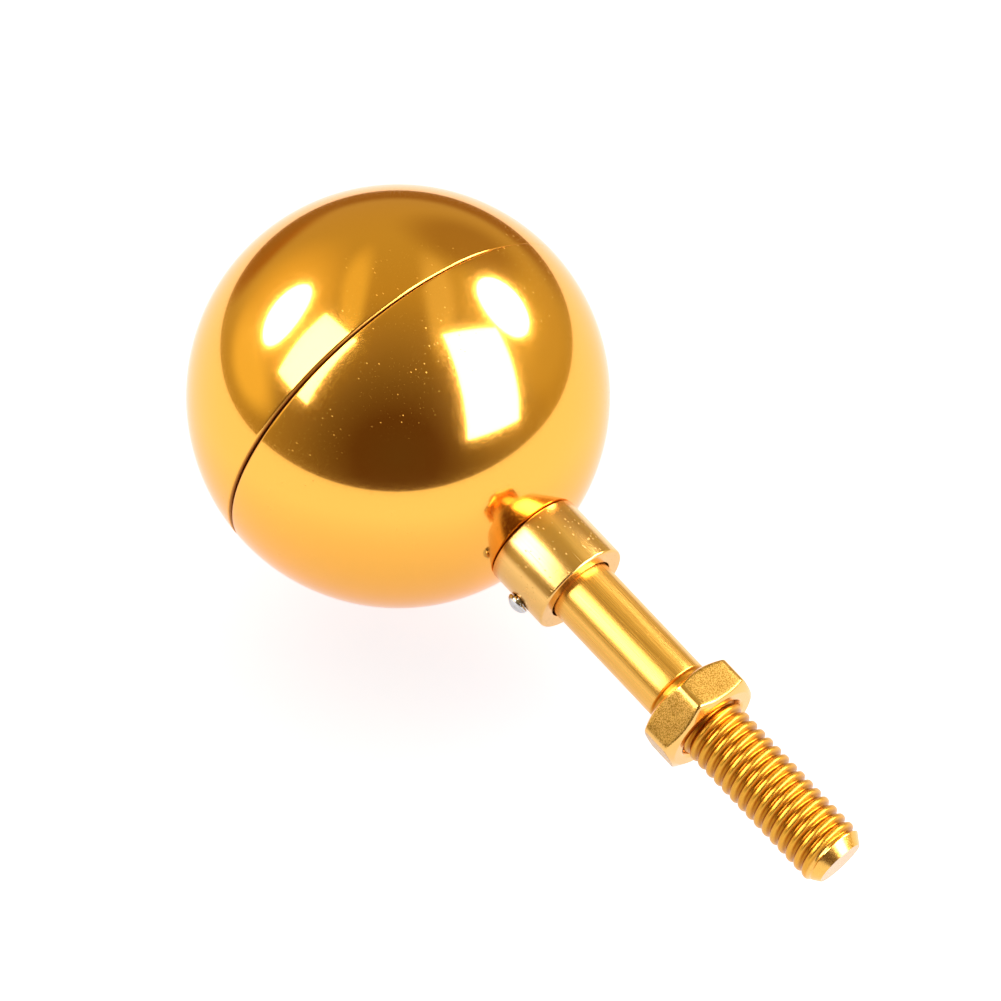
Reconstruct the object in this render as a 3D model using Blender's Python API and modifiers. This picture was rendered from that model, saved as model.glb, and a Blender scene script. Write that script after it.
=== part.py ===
"""Flagpole finial: a gold ball in two halves on a collar, a threaded spindle and a lock nut.

Every piece is modelled upright about the Z axis, with the ball's centre at zero and the
spindle pointing down. One empty then lays the pieces on the floor: the ball rests on a
small flat spot and the end of the thread touches the floor.
"""

import math

import bmesh
import bpy
from mathutils import Matrix, Vector

# Driving dimensions in metres
BALL_DIAMETER = 0.0762
SEAM_LIP_RADIUS = 0.0005
FLAT_SPOT_DIAMETER = 0.010

COLLAR_DIAMETER = 0.0189
COLLAR_LENGTH = 0.01335
COLLAR_BORE_DIAMETER = 0.0134
COLLAR_EDGE_RADIUS = 0.0006

SPINDLE_DIAMETER = 0.0125
SPINDLE_HEAD_GAP = 0.0006
SPINDLE_HEAD_CHAMFER = 0.0006

NUT_DISTANCE = 0.02785
NUT_THICKNESS = 0.0076
NUT_ACROSS_FLATS = 0.01905
NUT_FACE_DIAMETER = 0.0178
NUT_CHAMFER_ANGLE = math.radians(30.0)
NUT_COUNTERSINK = 0.0005

THREAD_REACH = 0.0337
THREAD_PITCH = 0.0254 / 12
THREAD_DEPTH = 0.00055
THREAD_CREST_WIDTH = 0.00110
THREAD_ROOT_WIDTH = 0.00030
THREAD_START_IN_NUT = 0.0015
THREAD_RUNOUT_TURNS = 0.5
RELIEF_LENGTH = 0.0020
RELIEF_DEPTH = 0.0004
END_CHAMFER_LENGTH = 0.0022
END_FACE_DIAMETER = 0.0093

SCREW_HEAD_DIAMETER = 0.0042
SCREW_HEAD_HEIGHT = 0.0014
SCREW_HEAD_RIM = 0.0005
SCREW_SHANK_DIAMETER = 0.0028
SCREW_PLACE = 0.0060

# Gap kept between two pieces that touch
CLEARANCE = 0.0003

# The ball sits a little askew on its collar: its crown leans towards one side
BALL_LEAN = math.radians(1.9)

# Turns about the spindle, counted from the side that ends up on top
BALL_LEAN_TURN = math.radians(66.0)
NUT_TURN = math.radians(-26.0)
SCREW_TURN = math.radians(-117.0)
THREAD_TURN = math.radians(214.0)

# Facets
BALL_SEGMENTS = 52
BALL_RINGS = 15
ROUND_SEGMENTS = 32
SCREW_SEGMENTS = 16
NUT_SIDES = 6
THREAD_STEPS = 16
LIP_STEPS = 3
MERGE_DISTANCE = 0.00001
SMOOTH_ANGLE = math.radians(35.0)

# Sizes that follow from the driving ones
BALL_RADIUS = BALL_DIAMETER / 2
COLLAR_RADIUS = COLLAR_DIAMETER / 2
SPINDLE_RADIUS = SPINDLE_DIAMETER / 2
COLLAR_TOP = -math.sqrt(BALL_RADIUS ** 2 - COLLAR_RADIUS ** 2)
COLLAR_BOTTOM = COLLAR_TOP - COLLAR_LENGTH
SPINDLE_TOP = -(BALL_RADIUS + SPINDLE_HEAD_GAP)
NUT_TOP = COLLAR_BOTTOM - NUT_DISTANCE
NUT_BOTTOM = NUT_TOP - NUT_THICKNESS
SPINDLE_BOTTOM = NUT_BOTTOM - THREAD_REACH
RELIEF_TOP = NUT_TOP + RELIEF_LENGTH
RELIEF_BOTTOM = NUT_TOP - NUT_COUNTERSINK
SCREW_HEIGHT = COLLAR_BOTTOM + SCREW_PLACE
BALL_REST_HEIGHT = math.sqrt(BALL_RADIUS ** 2 - (FLAT_SPOT_DIAMETER / 2) ** 2)


def remove_everything():
    """Removes the objects that the file holds."""
    for item in list(bpy.data.objects):
        bpy.data.objects.remove(item, do_unlink=True)


def make_collection(name):
    """Returns a new collection that is linked to the scene."""
    collection = bpy.data.collections.new(name)
    bpy.context.scene.collection.children.link(collection)
    return collection


def metal(name, colour, roughness):
    """Returns a metal material of one colour and roughness."""
    material = bpy.data.materials.new(name)
    material.use_nodes = True
    shader = material.node_tree.nodes["Principled BSDF"]
    shader.inputs["Base Color"].default_value = (*colour, 1.0)
    shader.inputs["Metallic"].default_value = 1.0
    shader.inputs["Roughness"].default_value = roughness
    material.diffuse_color = (*colour, 1.0)
    return material


def add_object(name, mesh, collection):
    """Links a new object for the mesh to the collection."""
    item = bpy.data.objects.new(name, mesh)
    collection.objects.link(item)
    return item


def turned(name, profile, segments, collection, closed=False):
    """Returns a turned solid: the profile of (radius, height) pairs runs down its outer side."""
    mesh = bpy.data.meshes.new(name)
    edges = [(i, i + 1) for i in range(len(profile) - 1)]
    if closed:
        edges.append((len(profile) - 1, 0))
    mesh.from_pydata([(radius, 0.0, height) for radius, height in profile], edges, [])
    item = add_object(name, mesh, collection)
    screw = item.modifiers.new("turn", "SCREW")
    screw.axis = "Z"
    screw.steps = segments
    screw.render_steps = segments
    screw.use_merge_vertices = True
    screw.merge_threshold = MERGE_DISTANCE
    screw.use_smooth_shade = True
    return item


def arc(centre_radius, centre_height, radius, start, end, steps):
    """Returns points of an arc in the profile's plane, from one angle to another."""
    points = []
    for i in range(steps + 1):
        angle = start + (end - start) * i / steps
        points.append((centre_radius + radius * math.cos(angle),
                       centre_height + radius * math.sin(angle)))
    return points


def cut(item, cutter, operation="DIFFERENCE"):
    """Cuts the item with the cutter by an exact Boolean."""
    modifier = item.modifiers.new(cutter.name, "BOOLEAN")
    modifier.operation = operation
    modifier.solver = "EXACT"
    modifier.object = cutter
    cutter.hide_render = True
    cutter.display_type = "WIRE"


def side_direction(turn):
    """Returns the sideways direction at a turn about the spindle."""
    return Vector((math.cos(turn), math.sin(turn), 0.0))


def upper_half_profile():
    """Returns the upper half ball's profile: crown, round, seam lip and seam face."""
    face = CLEARANCE / 2
    lip_height = face + SEAM_LIP_RADIUS
    lip_angle = math.asin(lip_height / BALL_RADIUS)
    lip_centre = BALL_RADIUS * math.cos(lip_angle) - SEAM_LIP_RADIUS
    round_side = arc(0.0, 0.0, BALL_RADIUS, math.pi / 2, lip_angle, BALL_RINGS)
    round_side[0] = (0.0, BALL_RADIUS)
    lip = arc(lip_centre, lip_height, SEAM_LIP_RADIUS, 0.0, -math.pi / 2, LIP_STEPS)
    return round_side + lip[1:] + [(0.0, face)]


def lower_half_profile():
    """Returns the lower half ball's profile: seam face, seam lip and round."""
    face = -CLEARANCE / 2
    lip_height = face - SEAM_LIP_RADIUS
    lip_angle = math.asin(lip_height / BALL_RADIUS)
    lip_centre = BALL_RADIUS * math.cos(lip_angle) - SEAM_LIP_RADIUS
    lip = arc(lip_centre, lip_height, SEAM_LIP_RADIUS, math.pi / 2, 0.0, LIP_STEPS)
    round_side = arc(0.0, 0.0, BALL_RADIUS, lip_angle, -math.pi / 2, BALL_RINGS)
    round_side[-1] = (0.0, -BALL_RADIUS)
    return [(0.0, face)] + lip[:-1] + round_side


def lean(half):
    """Leans a half ball about the ball's centre."""
    hinge = side_direction(BALL_LEAN_TURN + math.pi / 2)
    half.rotation_euler = Matrix.Rotation(BALL_LEAN, 3, hinge).to_euler()


def make_upper_half(parts):
    """Returns the ball's upper half."""
    half = turned("upper_half_ball", upper_half_profile(), BALL_SEGMENTS, parts)
    lean(half)
    return half


def make_lower_half(parts, floor_cutter):
    """Returns the ball's lower half with the flat spot that it rests on."""
    half = turned("lower_half_ball", lower_half_profile(), BALL_SEGMENTS, parts)
    lean(half)
    cut(half, floor_cutter)
    return half


def aim_sideways(item):
    """Turns an upright item to point out of the spindle at the set screw's place."""
    item.location = (0.0, 0.0, SCREW_HEIGHT)
    item.rotation_euler = (0.0, math.pi / 2, SCREW_TURN)


def make_collar(parts, cutters):
    """Returns the collar: bored for the spindle, seated on the ball, drilled for its screw."""
    bore = COLLAR_BORE_DIAMETER / 2
    edge = arc(COLLAR_RADIUS - COLLAR_EDGE_RADIUS, COLLAR_BOTTOM + COLLAR_EDGE_RADIUS,
               COLLAR_EDGE_RADIUS, 0.0, -math.pi / 2, LIP_STEPS)
    profile = [(bore, 0.0), (COLLAR_RADIUS, 0.0)] + edge + [(bore, COLLAR_BOTTOM)]
    collar = turned("collar", profile, ROUND_SEGMENTS, parts, closed=True)

    seat_radius = BALL_RADIUS + CLEARANCE
    seat_profile = arc(0.0, 0.0, seat_radius, math.pi / 2, -math.pi / 2, 2 * BALL_RINGS)
    seat_profile[0] = (0.0, seat_radius)
    seat_profile[-1] = (0.0, -seat_radius)
    seat = turned("ball_seat_cutter", seat_profile, BALL_SEGMENTS, cutters)
    cut(collar, seat)

    hole_radius = SCREW_SHANK_DIAMETER / 2 + CLEARANCE
    hole = turned("screw_hole_cutter", [
        (0.0, COLLAR_DIAMETER), (hole_radius, COLLAR_DIAMETER),
        (hole_radius, bore / 2), (0.0, bore / 2)], SCREW_SEGMENTS, cutters)
    aim_sideways(hole)
    cut(collar, hole)
    return collar, (seat, hole)


def make_set_screw(parts):
    """Returns the domed screw that presses through the collar on the spindle."""
    head_base = COLLAR_RADIUS + CLEARANCE
    shank_end = SPINDLE_RADIUS + CLEARANCE
    head_radius = SCREW_HEAD_DIAMETER / 2
    shank_radius = SCREW_SHANK_DIAMETER / 2
    dome_height = SCREW_HEAD_HEIGHT - SCREW_HEAD_RIM
    dome_radius = (head_radius ** 2 + dome_height ** 2) / (2 * dome_height)
    dome_centre = head_base + SCREW_HEAD_HEIGHT - dome_radius
    rim_angle = math.asin((head_base + SCREW_HEAD_RIM - dome_centre) / dome_radius)
    dome = arc(0.0, dome_centre, dome_radius, math.pi / 2, rim_angle, 2 * LIP_STEPS)
    dome[0] = (0.0, head_base + SCREW_HEAD_HEIGHT)
    profile = dome + [(head_radius, head_base), (shank_radius, head_base),
                      (shank_radius, shank_end), (0.0, shank_end)]
    screw = turned("set_screw", profile, SCREW_SEGMENTS, parts)
    aim_sideways(screw)
    return screw


def groove_section(turns):
    """Returns the four corners (radius, height) of the thread's groove after some turns."""
    share = min(1.0, turns / THREAD_RUNOUT_TURNS)
    depth = THREAD_DEPTH * share
    flank = (THREAD_PITCH - THREAD_CREST_WIDTH - THREAD_ROOT_WIDTH) / 2 / THREAD_DEPTH
    overshoot = THREAD_CREST_WIDTH / 2
    root = THREAD_ROOT_WIDTH / 2
    mouth = root + flank * (depth + overshoot)
    inner = SPINDLE_RADIUS - depth
    outer = SPINDLE_RADIUS + overshoot
    return [(inner, root), (outer, mouth), (outer, -mouth), (inner, -root)]


def make_groove_cutter(cutters):
    """Returns the closed helical bar that cuts the thread's groove."""
    start = NUT_BOTTOM + THREAD_START_IN_NUT
    turns = (start - SPINDLE_BOTTOM) / THREAD_PITCH + 1.0
    steps = math.ceil(turns * THREAD_STEPS)
    shape = bmesh.new()
    previous = None
    for i in range(steps + 1):
        done = i / THREAD_STEPS
        angle = THREAD_TURN - math.tau * done
        fall = start - THREAD_PITCH * done
        ring = []
        for radius, height in groove_section(done):
            corner = (radius * math.cos(angle), radius * math.sin(angle), fall + height)
            ring.append(shape.verts.new(corner))
        if previous is None:
            shape.faces.new(ring)
        else:
            for k in range(4):
                after = (k + 1) % 4
                shape.faces.new((previous[k], previous[after], ring[after], ring[k]))
        previous = ring
    shape.faces.new(reversed(previous))
    bmesh.ops.recalc_face_normals(shape, faces=shape.faces)
    mesh = bpy.data.meshes.new("thread_groove_cutter")
    shape.to_mesh(mesh)
    shape.free()
    return add_object("thread_groove_cutter", mesh, cutters)


def make_spindle(parts, cutters):
    """Returns the spindle: a rod with a relief above the nut and a thread on its lower end."""
    end_radius = END_FACE_DIAMETER / 2
    neck_radius = SPINDLE_RADIUS - RELIEF_DEPTH
    profile = [(0.0, SPINDLE_TOP),
               (SPINDLE_RADIUS - SPINDLE_HEAD_CHAMFER, SPINDLE_TOP),
               (SPINDLE_RADIUS, SPINDLE_TOP - SPINDLE_HEAD_CHAMFER),
               (SPINDLE_RADIUS, RELIEF_TOP),
               (neck_radius, RELIEF_TOP - RELIEF_DEPTH),
               (neck_radius, RELIEF_BOTTOM),
               (SPINDLE_RADIUS, RELIEF_BOTTOM - RELIEF_DEPTH),
               (SPINDLE_RADIUS, SPINDLE_BOTTOM + END_CHAMFER_LENGTH),
               (end_radius, SPINDLE_BOTTOM),
               (0.0, SPINDLE_BOTTOM)]
    spindle = turned("spindle", profile, ROUND_SEGMENTS, parts)
    groove = make_groove_cutter(cutters)
    cut(spindle, groove)
    return spindle, groove


def make_nut(parts, cutters):
    """Returns the lock nut: a hexagon with both ends chamfered and its bore countersunk."""
    corner_radius = NUT_ACROSS_FLATS / math.sqrt(3.0)
    nut = turned("hex_nut", [
        (0.0, NUT_TOP), (corner_radius, NUT_TOP),
        (corner_radius, NUT_BOTTOM), (0.0, NUT_BOTTOM)], NUT_SIDES, parts)
    nut.rotation_euler = (0.0, 0.0, NUT_TURN)

    face_radius = NUT_FACE_DIAMETER / 2
    envelope_radius = corner_radius + CLEARANCE
    fall = (envelope_radius - face_radius) * math.tan(NUT_CHAMFER_ANGLE)
    envelope = turned("nut_chamfer_cutter", [
        (0.0, NUT_TOP), (face_radius, NUT_TOP), (envelope_radius, NUT_TOP - fall),
        (envelope_radius, NUT_BOTTOM + fall), (face_radius, NUT_BOTTOM), (0.0, NUT_BOTTOM)],
        ROUND_SEGMENTS, cutters)
    cut(nut, envelope, "INTERSECT")

    bore = SPINDLE_RADIUS + CLEARANCE
    mouth = bore + NUT_COUNTERSINK
    beyond = NUT_COUNTERSINK
    bore_cutter = turned("nut_bore_cutter", [
        (0.0, NUT_TOP + beyond), (mouth + beyond, NUT_TOP + beyond),
        (bore, NUT_TOP - NUT_COUNTERSINK), (bore, NUT_BOTTOM + NUT_COUNTERSINK),
        (mouth + beyond, NUT_BOTTOM - beyond), (0.0, NUT_BOTTOM - beyond)],
        ROUND_SEGMENTS, cutters)
    cut(nut, bore_cutter)
    return nut, (envelope, bore_cutter)


def make_floor_cutter(cutters):
    """Returns the disc below the floor that planes the flat spot."""
    return turned("floor_cutter", [
        (0.0, 0.0), (BALL_DIAMETER, 0.0),
        (BALL_DIAMETER, -BALL_RADIUS), (0.0, -BALL_RADIUS)], ROUND_SEGMENTS, cutters)


def resting_dip(spindle):
    """Returns the angle below level at which the spindle's lowest point meets the floor."""
    graph = bpy.context.evaluated_depsgraph_get()
    mesh = spindle.evaluated_get(graph).to_mesh()
    dips = []
    for vertex in mesh.vertices:
        reach = math.hypot(vertex.co.x, vertex.co.z)
        if reach > BALL_REST_HEIGHT:
            below = math.atan2(-vertex.co.x, -vertex.co.z)
            dips.append(math.asin(BALL_REST_HEIGHT / reach) - below)
    spindle.evaluated_get(graph).to_mesh_clear()
    return min(dips)


def spindle_end_reach(dip):
    """Returns how far the spindle's end reaches along +X from the ball's centre."""
    end_radius = END_FACE_DIAMETER / 2
    return -SPINDLE_BOTTOM * math.cos(dip) + end_radius * math.sin(dip)


def lay_down(pose, pieces, spindle):
    """Parents the pieces to the empty and turns it, so that ball and thread end rest on the floor."""
    for piece in pieces:
        piece.parent = pose
    dip = resting_dip(spindle)
    middle = (spindle_end_reach(dip) - BALL_RADIUS) / 2
    pose.rotation_euler = (0.0, dip - math.pi / 2, 0.0)
    pose.location = (-middle, 0.0, BALL_REST_HEIGHT)


def finish(piece, material):
    """Gives a piece its material and smooth shading up to sharp edges."""
    piece.data.materials.append(material)
    piece.data.shade_smooth()
    piece.data.set_sharp_from_angle(angle=SMOOTH_ANGLE)


def main():
    """Builds the finial."""
    remove_everything()
    parts = make_collection("flagpole_finial")
    cutters = make_collection("cutters")

    floor_cutter = make_floor_cutter(cutters)
    upper_half = make_upper_half(parts)
    lower_half = make_lower_half(parts, floor_cutter)
    collar, collar_cutters = make_collar(parts, cutters)
    set_screw = make_set_screw(parts)
    spindle, groove = make_spindle(parts, cutters)
    nut, nut_cutters = make_nut(parts, cutters)

    mirror_gold = metal("polished_gold_anodising", (0.86, 0.50, 0.09), 0.08)
    satin_gold = metal("satin_gold_anodising", (0.84, 0.49, 0.11), 0.22)
    grained_gold = metal("grained_gold_anodising", (0.80, 0.48, 0.13), 0.38)
    steel = metal("bright_steel", (0.72, 0.72, 0.70), 0.15)
    finish(upper_half, mirror_gold)
    finish(lower_half, mirror_gold)
    finish(collar, satin_gold)
    finish(spindle, satin_gold)
    finish(nut, grained_gold)
    finish(set_screw, steel)

    pose = bpy.data.objects.new("resting_pose", None)
    parts.objects.link(pose)
    pieces = [upper_half, lower_half, collar, set_screw, spindle, nut]
    lay_down(pose, pieces + [groove, *collar_cutters, *nut_cutters], spindle)


main()
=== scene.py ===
"""Looks of the flagpole finial: fine meshes, gold and steel finishes, studio and camera.

Every piece is built upright about the Z axis, with the ball's centre at zero and the
spindle pointing down, and is then laid down as the finial rests on the floor. Sizes are
in metres and angles in radians where nothing else is said. A field's comment says what
it is where its name doesn't.
"""

import logging
import math
from collections.abc import Callable
from dataclasses import dataclass, field
from enum import Enum

import bmesh
import bpy
from mathutils import Matrix, Vector


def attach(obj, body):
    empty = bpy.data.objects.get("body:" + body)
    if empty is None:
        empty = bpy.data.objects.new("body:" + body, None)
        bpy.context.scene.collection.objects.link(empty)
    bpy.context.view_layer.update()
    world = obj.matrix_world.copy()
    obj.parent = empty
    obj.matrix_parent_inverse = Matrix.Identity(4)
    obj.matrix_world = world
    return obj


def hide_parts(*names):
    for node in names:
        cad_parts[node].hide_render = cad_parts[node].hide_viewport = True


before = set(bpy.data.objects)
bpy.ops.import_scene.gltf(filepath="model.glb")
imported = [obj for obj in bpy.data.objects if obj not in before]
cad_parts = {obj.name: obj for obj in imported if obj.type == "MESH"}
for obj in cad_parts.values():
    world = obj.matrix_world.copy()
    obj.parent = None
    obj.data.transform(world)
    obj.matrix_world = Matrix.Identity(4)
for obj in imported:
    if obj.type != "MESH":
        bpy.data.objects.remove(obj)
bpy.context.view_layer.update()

LOG = logging.getLogger("finial")

Triple = tuple[float, float, float]
Colour = Triple
Span = tuple[float, float]
Profile = list[tuple[float, float]]
Socket = bpy.types.NodeSocket

BALL_RADIUS = 0.0381
MERGE = 1e-7


# The finial's pose

@dataclass(frozen=True)
class RestingPose:
    """How the upright finial lies on the floor."""

    dip: float = math.radians(15.7189)  # the spindle's angle below level
    ball_centre: Triple = (-0.0390518, 0.0, 0.0377705)

    def matrix(self) -> Matrix:
        """Returns the matrix that lays an upright piece down."""
        turn = Matrix.Rotation(self.dip - math.pi / 2, 4, "Y")
        return Matrix.Translation(Vector(self.ball_centre)) @ turn


POSE = RestingPose()


# Mesh making

@dataclass
class Draft:
    """Vertices and faces of an upright piece before it becomes an object."""

    vertices: list[Triple] = field(default_factory=list)
    faces: list[tuple[int, ...]] = field(default_factory=list)

    def add(self, other: "Draft") -> None:
        """Adds another draft's vertices and faces.

        Args:
            other: The draft to add.
        """
        first = len(self.vertices)
        self.vertices.extend(other.vertices)
        self.faces.extend(tuple(first + i for i in face) for face in other.faces)

    def mesh(self, name: str, merge: float = MERGE) -> bpy.types.Mesh:
        """Makes a closed mesh with its faces outwards.

        Args:
            name: The mesh's name.
            merge: Distance under which vertices become one.

        Returns:
            The new mesh, still upright.
        """
        mesh = bpy.data.meshes.new(name)
        mesh.from_pydata(self.vertices, [], self.faces)
        tidy_mesh(mesh, merge)
        return mesh


def tidy_mesh(mesh: bpy.types.Mesh, merge: float) -> None:
    """Merges doubles, drops collapsed faces and turns the faces outwards.

    Args:
        mesh: The mesh to tidy.
        merge: Distance under which vertices become one.
    """
    work = bmesh.new()
    work.from_mesh(mesh)
    bmesh.ops.remove_doubles(work, verts=work.verts, dist=merge)
    bmesh.ops.dissolve_degenerate(work, edges=work.edges, dist=merge)
    bmesh.ops.recalc_face_normals(work, faces=work.faces)
    work.to_mesh(mesh)
    work.free()
    mesh.shade_smooth()


def share_of(value: float, low: float, high: float) -> float:
    """Returns how far a value is on its way from low to high, from zero to one."""
    return min(1.0, max(0.0, (value - low) / (high - low)))


def arc(centre: tuple[float, float], radius: float, start: float, end: float,
        steps: int) -> Profile:
    """Gives the points of an arc in a profile's plane.

    Args:
        centre: Radius and height of the arc's centre.
        radius: The arc's radius.
        start: Angle of the first point, from level outwards.
        end: Angle of the last point.
        steps: Number of steps between them.

    Returns:
        The points as (radius, height) pairs.
    """
    angles = [start + (end - start) * i / steps for i in range(steps + 1)]
    return [(centre[0] + radius * math.cos(a), centre[1] + radius * math.sin(a))
            for a in angles]


def lathe(profile: Profile | Callable[[float], Profile], segments: int,
          closed: bool = False) -> Draft:
    """Turns a profile about the Z axis.

    Args:
        profile: (radius, height) pairs, or a function that gives them at an angle.
        segments: Number of steps round.
        closed: Whether the last pair joins the first one, as on a ring.

    Returns:
        The turned surface, whose poles close when its doubles are merged.
    """
    draft = Draft()
    for i in range(segments):
        angle = math.tau * i / segments
        column = profile(angle) if callable(profile) else profile
        draft.vertices.extend((radius * math.cos(angle), radius * math.sin(angle), height)
                              for radius, height in column)
    count = len(column)
    for i in range(segments):
        here = i * count
        beside = (i + 1) % segments * count
        for k in range(count if closed else count - 1):
            after = (k + 1) % count
            draft.faces.append((here + k, here + after, beside + after, beside + k))
    return draft


def settle(item: bpy.types.Object) -> None:
    """Turns an object's modifiers into a plain mesh.

    Args:
        item: The object whose modifiers are applied and removed.
    """
    graph = bpy.context.evaluated_depsgraph_get()
    mesh = bpy.data.meshes.new_from_object(item.evaluated_get(graph))
    item.modifiers.clear()
    item.data = mesh


def new_object(name: str, data: bpy.types.ID) -> bpy.types.Object:
    """Links a new object to the scene.

    Args:
        name: The object's name.
        data: Its mesh, lamp or camera.

    Returns:
        The new object.
    """
    item = bpy.data.objects.new(name, data)
    bpy.context.scene.collection.objects.link(item)
    return item


# Nodes

class NodeBench:
    """Adds nodes to a node tree and links them."""

    def __init__(self, tree: bpy.types.NodeTree) -> None:
        """Takes the tree that the nodes go to."""
        self.nodes = tree.nodes
        self.links = tree.links

    def feed(self, source: object, target: Socket) -> None:
        """Links a socket, or sets a plain value.

        Args:
            source: An output socket, a number, a vector or a colour.
            target: The input that takes it.
        """
        if isinstance(source, Socket):
            self.links.new(source, target)
        elif target.type == "RGBA":
            target.default_value = (*source, 1.0)
        else:
            target.default_value = source

    def add(self, kind: str, inputs: dict[str | int, object], output: str | int,
            **settings: object) -> Socket:
        """Adds a node and feeds it.

        Args:
            kind: Blender's name of the node.
            inputs: What its inputs take, by their names or numbers.
            output: Name or number of the output that is wanted.
            settings: The node's own settings.

        Returns:
            The output.
        """
        node = self.nodes.new(kind)
        for name, value in settings.items():
            setattr(node, name, value)
        for place, source in inputs.items():
            self.feed(source, node.inputs[place])
        return node.outputs[output]

    def math(self, operation: str, first: object, second: object = 0.0) -> Socket:
        """Returns a math operation's result on two numbers or sockets."""
        return self.add("ShaderNodeMath", {0: first, 1: second}, "Value", operation=operation)

    def vector_math(self, operation: str, *inputs: object) -> Socket:
        """Returns a vector operation's result, as a number."""
        return self.add("ShaderNodeVectorMath", dict(enumerate(inputs)), "Value",
                        operation=operation)

    def span(self, value: object, low: object, high: object, to_low: object, to_high: object,
             smooth: bool = True) -> Socket:
        """Returns a value brought from the range low to high to the range to_low to to_high."""
        return self.add("ShaderNodeMapRange", {"Value": value, "From Min": low,
                                               "From Max": high, "To Min": to_low,
                                               "To Max": to_high},
                        "Result", interpolation_type="SMOOTHSTEP" if smooth else "LINEAR")

    def mixed(self, share: Socket, first: object, second: object) -> Socket:
        """Returns a mix of two colours or sockets, by the share of the second one."""
        return self.add("ShaderNodeMix", {0: share, 6: first, 7: second}, 2, data_type="RGBA")


class Sheet(NodeBench):
    """A material's node tree while it is being drawn."""

    def __init__(self, name: str) -> None:
        """Starts a material with one shader.

        Args:
            name: The material's name.
        """
        self.material = bpy.data.materials.new(name)
        self.material.use_nodes = True
        super().__init__(self.material.node_tree)
        self.place = self.nodes.new("ShaderNodeTexCoord").outputs["Object"]

    def finished(self, inputs: dict[str, object]) -> bpy.types.Material:
        """Feeds the shader.

        Args:
            inputs: What its inputs take, by their names.

        Returns:
            The finished material.
        """
        shader = self.nodes["Principled BSDF"]
        for name, source in inputs.items():
            self.feed(source, shader.inputs[name])
        return self.material

    def moved(self, place: Socket, turn: Triple = (0.0, 0.0, 0.0),
              scale: Triple = (1.0, 1.0, 1.0), shift: Triple = (0.0, 0.0, 0.0)) -> Socket:
        """Returns coordinates that are scaled, then turned, then shifted."""
        return self.add("ShaderNodeMapping", {"Vector": place, "Rotation": turn,
                                              "Scale": scale, "Location": shift}, "Vector")

    def along_spindle(self) -> Socket:
        """Returns coordinates whose X runs along the spindle's axis from the ball's centre."""
        turn = Matrix.Rotation(-POSE.dip, 3, "Y")
        return self.moved(self.place, turn=(0.0, -POSE.dip, 0.0),
                          shift=-(turn @ Vector(POSE.ball_centre)))

    def noise(self, place: Socket, scale: float, detail: float = 2.0,
              rough: float = 0.5) -> Socket:
        """Returns a noise from zero to one, of a scale per metre."""
        return self.add("ShaderNodeTexNoise", {"Vector": place, "Scale": scale,
                                               "Detail": detail, "Roughness": rough}, "Fac")

    def dots(self, place: Socket, scale: float, size: Span, high: float = 1.0) -> Socket:
        """Draws scattered dots, which stretched coordinates make scratches.

        Args:
            place: The coordinates that are read.
            scale: Dots per metre.
            size: Where a dot starts to fade and where it ends, in spaces between dots.
            high: The value on a dot.

        Returns:
            The value, which is zero between the dots.
        """
        apart = self.add("ShaderNodeTexVoronoi", {"Vector": place, "Scale": scale}, "Distance")
        return self.span(apart, *size, high, 0.0)

    def bump(self, height: Socket, depth: float, under: Socket | None = None) -> Socket:
        """Bumps the surface.

        Args:
            height: The height, from zero to one.
            depth: What a height of one stands for, in metres.
            under: The normal of a bump below this one.

        Returns:
            The bumped normal.
        """
        inputs = {"Strength": 1.0, "Distance": depth, "Height": height}
        if under is not None:
            inputs["Normal"] = under
        return self.add("ShaderNodeBump", inputs, "Normal")


# Finishes

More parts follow.
